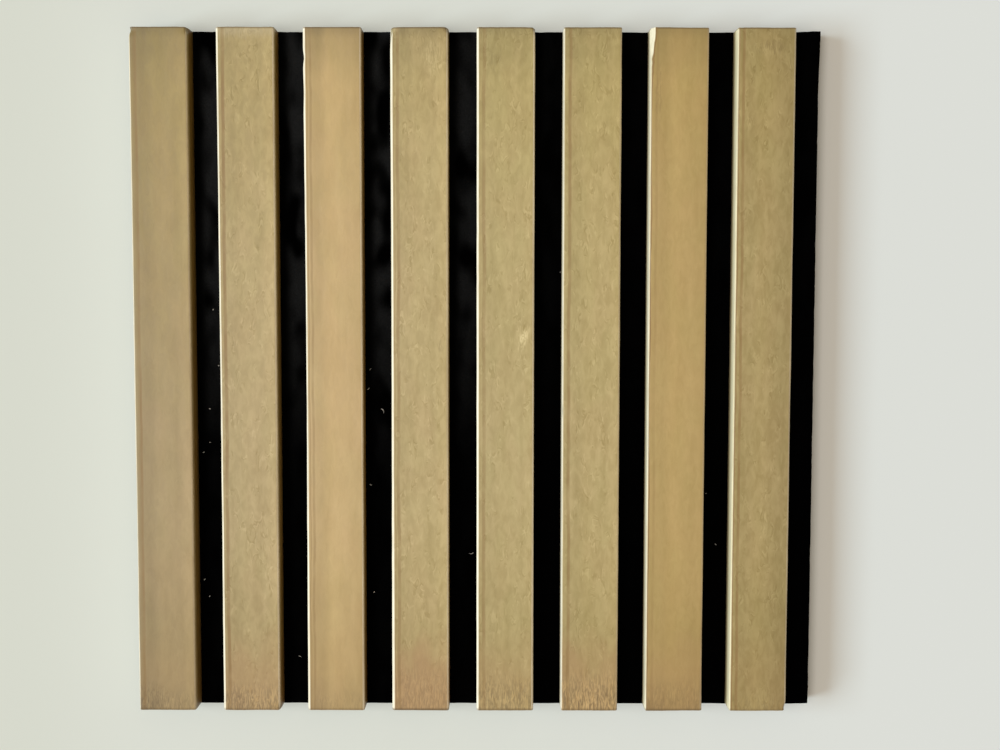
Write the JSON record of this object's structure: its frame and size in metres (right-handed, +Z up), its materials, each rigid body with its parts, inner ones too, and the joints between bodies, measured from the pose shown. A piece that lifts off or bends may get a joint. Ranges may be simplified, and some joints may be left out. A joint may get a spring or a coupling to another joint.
{
  "type": "acoustic slat panel",
  "caption": "Square wall panel: upright wood slats with rounded front edges on a black felt board, one side edge left bare for the gap to the next panel.",
  "frame": {"origin": "centre of the felt's back face, on the wall", "axes": "+X to the right as seen from the room, +Y into the wall, +Z up along the slats; the slats face -Y"},
  "size_m": [0.32, 0.021, 0.32],
  "materials": {
    "slat_wood": "smooth oak look, satin, fine short vertical grain flecks, redder at the sawn ends",
    "felt": "pressed polyester felt, matt black, a little lint on it",
    "staple_wire": "bright galvanised wire"
  },
  "bodies": {
    "root": {"felt_backing": "felt", "slat_1": "slat_wood", "slat_2": "slat_wood", "slat_3": "slat_wood", "slat_4": "slat_wood", "slat_5": "slat_wood", "slat_6": "slat_wood", "slat_7": "slat_wood", "slat_8": "slat_wood", "staples": "staple_wire"}
  },
  "joints": []
}
